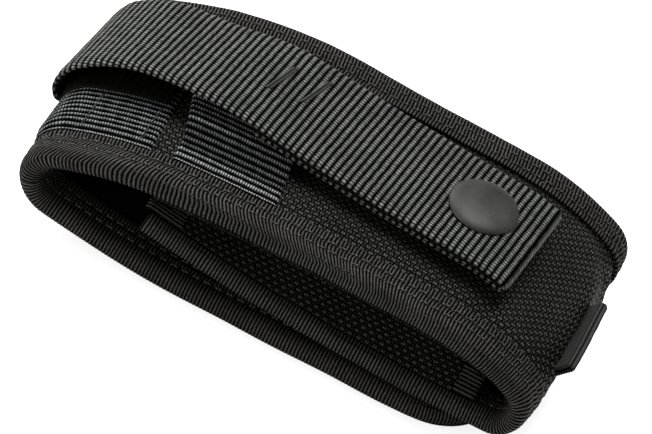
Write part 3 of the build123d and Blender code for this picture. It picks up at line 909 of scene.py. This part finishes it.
# ---------------------------------------------------------------- hook and loop patches
def patch(name, s0, s1, offset, thick, material, flip):
    n, m = int(70 * FINE), int(80 * FINE)
    s = np.linspace(s0, s1, n)[:, None]
    y = np.linspace(-16, 16, m)[None, :]
    near_edge = np.minimum(np.minimum(s - s0, s1 - s), 16 - np.abs(y))
    crown = np.clip(near_edge / 0.7, 0, 1) ** 0.5 * thick * (0.92 + 0.08 * ripple(s, y, 9, 2.2))
    points = on_strip(s, y, offset + crown * (1 if offset > 0 else -1))
    uv = np.stack(np.broadcast_arrays(s, y), -1)
    return dress(grid(name, points, uv, flip=flip), material)


hook = patch("hook_patch", strip.find(13.0, 0, FOLD_LINE), strip.find(-13.0, 0, FOLD_LINE), -2.05, 1.1,
             mat_hook, False)
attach(hook, "flap")
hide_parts("flap_hook_patch")
loop_patch = patch("loop_patch", strip.find(13.0, FRONT_START, MOUTH), strip.find(-13.0, FRONT_START, MOUTH),
                   2.05, 1.1, mat_loop, True)
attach(loop_patch, "sheath")
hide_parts("pocket_loop_patch")


# ---------------------------------------------------------------- flattened webbing loop on the bottom fold
def end_loop():
    """Two plies of webbing rolled over at their outer edge, standing off the bottom fold."""
    low, high = [np.array(v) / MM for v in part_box("end_loop")]
    tilt, ply, half_gap, run = radians(50.0), 0.9, 0.65, 5.6
    roll = np.array([high[0] - half_gap - ply / 2, high[2] - half_gap - ply / 2])
    along, aside = np.array([cos(tilt), sin(tilt)]), np.array([-sin(tilt), cos(tilt)])
    turn = np.linspace(pi / 2, -pi / 2, int(30 * FINE))[:, None]
    leg = np.linspace(-run, 0, int(40 * FINE), endpoint=False)[:, None]
    upper = roll + along * leg + aside * half_gap
    lower = (roll + along * leg - aside * half_gap)[::-1]
    line = np.concatenate([upper, roll + half_gap * (along * np.cos(turn) + aside * np.sin(turn)), lower], 0)
    step = np.gradient(line, axis=0)
    step /= np.linalg.norm(step, axis=1, keepdims=True)
    s = np.concatenate([[0], np.cumsum(np.linalg.norm(np.diff(line, axis=0), axis=1))])[:, None]
    half = (high[1] - low[1]) / 2
    y, zz, ny, nz = band_section(half, ply / 2, int(40 * FINE), 5)
    sink = -0.14 * (1 - np.abs(np.sin(pi * s / 0.62)) ** 0.8) + 0.05 * ripple(s, y[None, :], 31, 4.0)
    out = zz + nz * sink
    bow = 0.25 * ripple(y[None, :], s, 33, 26)
    x = line[:, :1] - step[:, 1:] * out + bow
    z = line[:, 1:] + step[:, :1] * out + bow * 0.5
    points = np.stack(np.broadcast_arrays(x, (low[1] + high[1]) / 2 + y + ny * sink, z), -1)
    seam = np.concatenate([[0], np.cumsum(np.hypot(np.diff(y), np.diff(zz)))])
    around = np.concatenate([seam, [seam[-1] + 0.4]])
    uv = np.stack(np.broadcast_arrays(around[None, :], s), -1)
    return grid("end_loop_webbing", points, uv, wrap=True)


loop = end_loop()
dress(loop, mat_loop_web, "sheath", ["end_loop"])


# ---------------------------------------------------------------- bar tacks
def tack(centre, along, across, out, length, width, pitch=0.34):
    """Zigzag thread packed into a bar."""
    found = []
    steps = int(length / pitch)
    for i in range(steps):
        shift = (i + 0.5) / steps * length - length / 2
        slant = along * pitch * 0.5
        a = centre + along * shift - across * width / 2 - slant
        b = centre + along * shift + across * width / 2 + slant
        found.append((a, b, out, 0.22))
    return found


strap_tacks = []
for u_place, v_place in ((-48.6, 1.0), (-41.3, 3.1)):
    s = strap_path.find(u_place, 20, 70)
    x, z, h = strap_path.at(s)
    turn = radians(-10.0)
    along = skewed((-sin(turn), cos(turn), 0))
    across = skewed((cos(h), 0, sin(h)))
    out = skewed((-sin(h), 0, cos(h)))
    centre = askew(x, v_place, z) + out * (STRAP_HALF - 0.02)
    strap_tacks += tack(centre, along, across, out, 9.5, 1.3, 0.46)
dress(threads("strap_tack_threads", strap_tacks, 0.16), mat_tack, "strap", ["strap_bar_tacks"])

web_tacks = []
for x_place in (-49.0, -37.2):
    s = back_at(x_place)
    x, z, h = strip.at(s)
    out = np.array([-sin(h), 0, cos(h)])
    across = np.array([cos(h), 0, sin(h)])
    centre = np.array([x, -14.9, z]) + out * (HALF_PANEL + WEB - 0.04)
    web_tacks += tack(centre, np.array([0, 1.0, 0]), across, out, 11.0, 0.7, 0.9)
dress(threads("webbing_tack_threads", web_tacks, 0.12), mat_tack, "sheath", ["webbing_bar_tacks"])


# ---------------------------------------------------------------- floor, light and camera
floor_mesh = bpy.data.meshes.new("floor")
size = 6.0
floor_mesh.from_pydata([(-size, -size, 0), (size, -size, 0), (size, size, 0), (-size, size, 0)], [],
                       [(0, 1, 2, 3)])
floor = bpy.data.objects.new("floor", floor_mesh)
bpy.context.scene.collection.objects.link(floor)


def seen_or_not(tree, seen, unseen):
    """One value for the camera, and another for the light that reaches the sheath."""
    ray = Wire(tree, tree.nodes.new("ShaderNodeLightPath").outputs["Is Camera Ray"])
    return ray * (seen - unseen) + unseen


paper = bpy.data.materials.new("pale_paper")
paper.use_nodes = True
paper_shader = paper.node_tree.nodes["Principled BSDF"]
paper_shader.inputs["Base Color"].default_value = (0.9, 0.9, 0.9, 1)
paper_shader.inputs["Roughness"].default_value = 0.9
paper_shader.inputs["Specular IOR Level"].default_value = 0.0
paper_shader.inputs["Emission Color"].default_value = (1, 1, 1, 1)
glow = seen_or_not(paper.node_tree, 0.8, 0.0)
paper.node_tree.links.new(glow.socket, paper_shader.inputs["Emission Strength"])
floor_mesh.materials.append(paper)

world = bpy.data.worlds.new("studio")
bpy.context.scene.world = world
world.use_nodes = True
backdrop = world.node_tree.nodes["Background"]
backdrop.inputs["Color"].default_value = (1, 1, 1, 1)
world.node_tree.links.new(seen_or_not(world.node_tree, 1.0, 0.22).socket, backdrop.inputs["Strength"])


def softbox(name, place, aim, size, power):
    light = bpy.data.lights.new(name, "AREA")
    light.shape, light.size, light.size_y = "RECTANGLE", size[0], size[1]
    light.energy = power
    obj = bpy.data.objects.new(name, light)
    bpy.context.scene.collection.objects.link(obj)
    obj.location = Vector(place)
    obj.rotation_euler = (Vector(aim) - Vector(place)).to_track_quat("-Z", "Y").to_euler()


softbox("top_light", (-0.05, 0.20, 1.0), (0, 0, 0.02), (0.6, 0.5), 8.0)
softbox("back_light", (-0.75, 0.55, 0.55), (0, 0, 0.02), (0.7, 0.5), 6.0)
softbox("front_fill", (-0.9, -0.7, 0.24), (0, 0, 0.02), (0.6, 0.5), 5.0)

azimuth, elevation, roll = radians(6.8), radians(43.0), radians(22.8)
back = Vector((sin(azimuth) * cos(elevation), -cos(azimuth) * cos(elevation), sin(elevation)))
level = Vector((cos(azimuth), sin(azimuth), 0))
upright = back.cross(level)
right = level * cos(roll) + upright * sin(roll)
up = upright * cos(roll) - level * sin(roll)
camera = bpy.data.objects.new("camera", bpy.data.cameras.new("camera"))
bpy.context.scene.collection.objects.link(camera)
camera.data.sensor_width, camera.data.lens = 36.0, 247.5
camera.data.clip_start, camera.data.clip_end = 0.05, 20.0
target = Vector((2.75, -19.48, 30.76)) * MM
place = target + back * 0.9
camera.matrix_world = Matrix(((right.x, up.x, back.x, place.x), (right.y, up.y, back.y, place.y),
                              (right.z, up.z, back.z, place.z), (0, 0, 0, 1)))
bpy.context.scene.camera = camera
bpy.context.scene.view_settings.view_transform = "Standard"
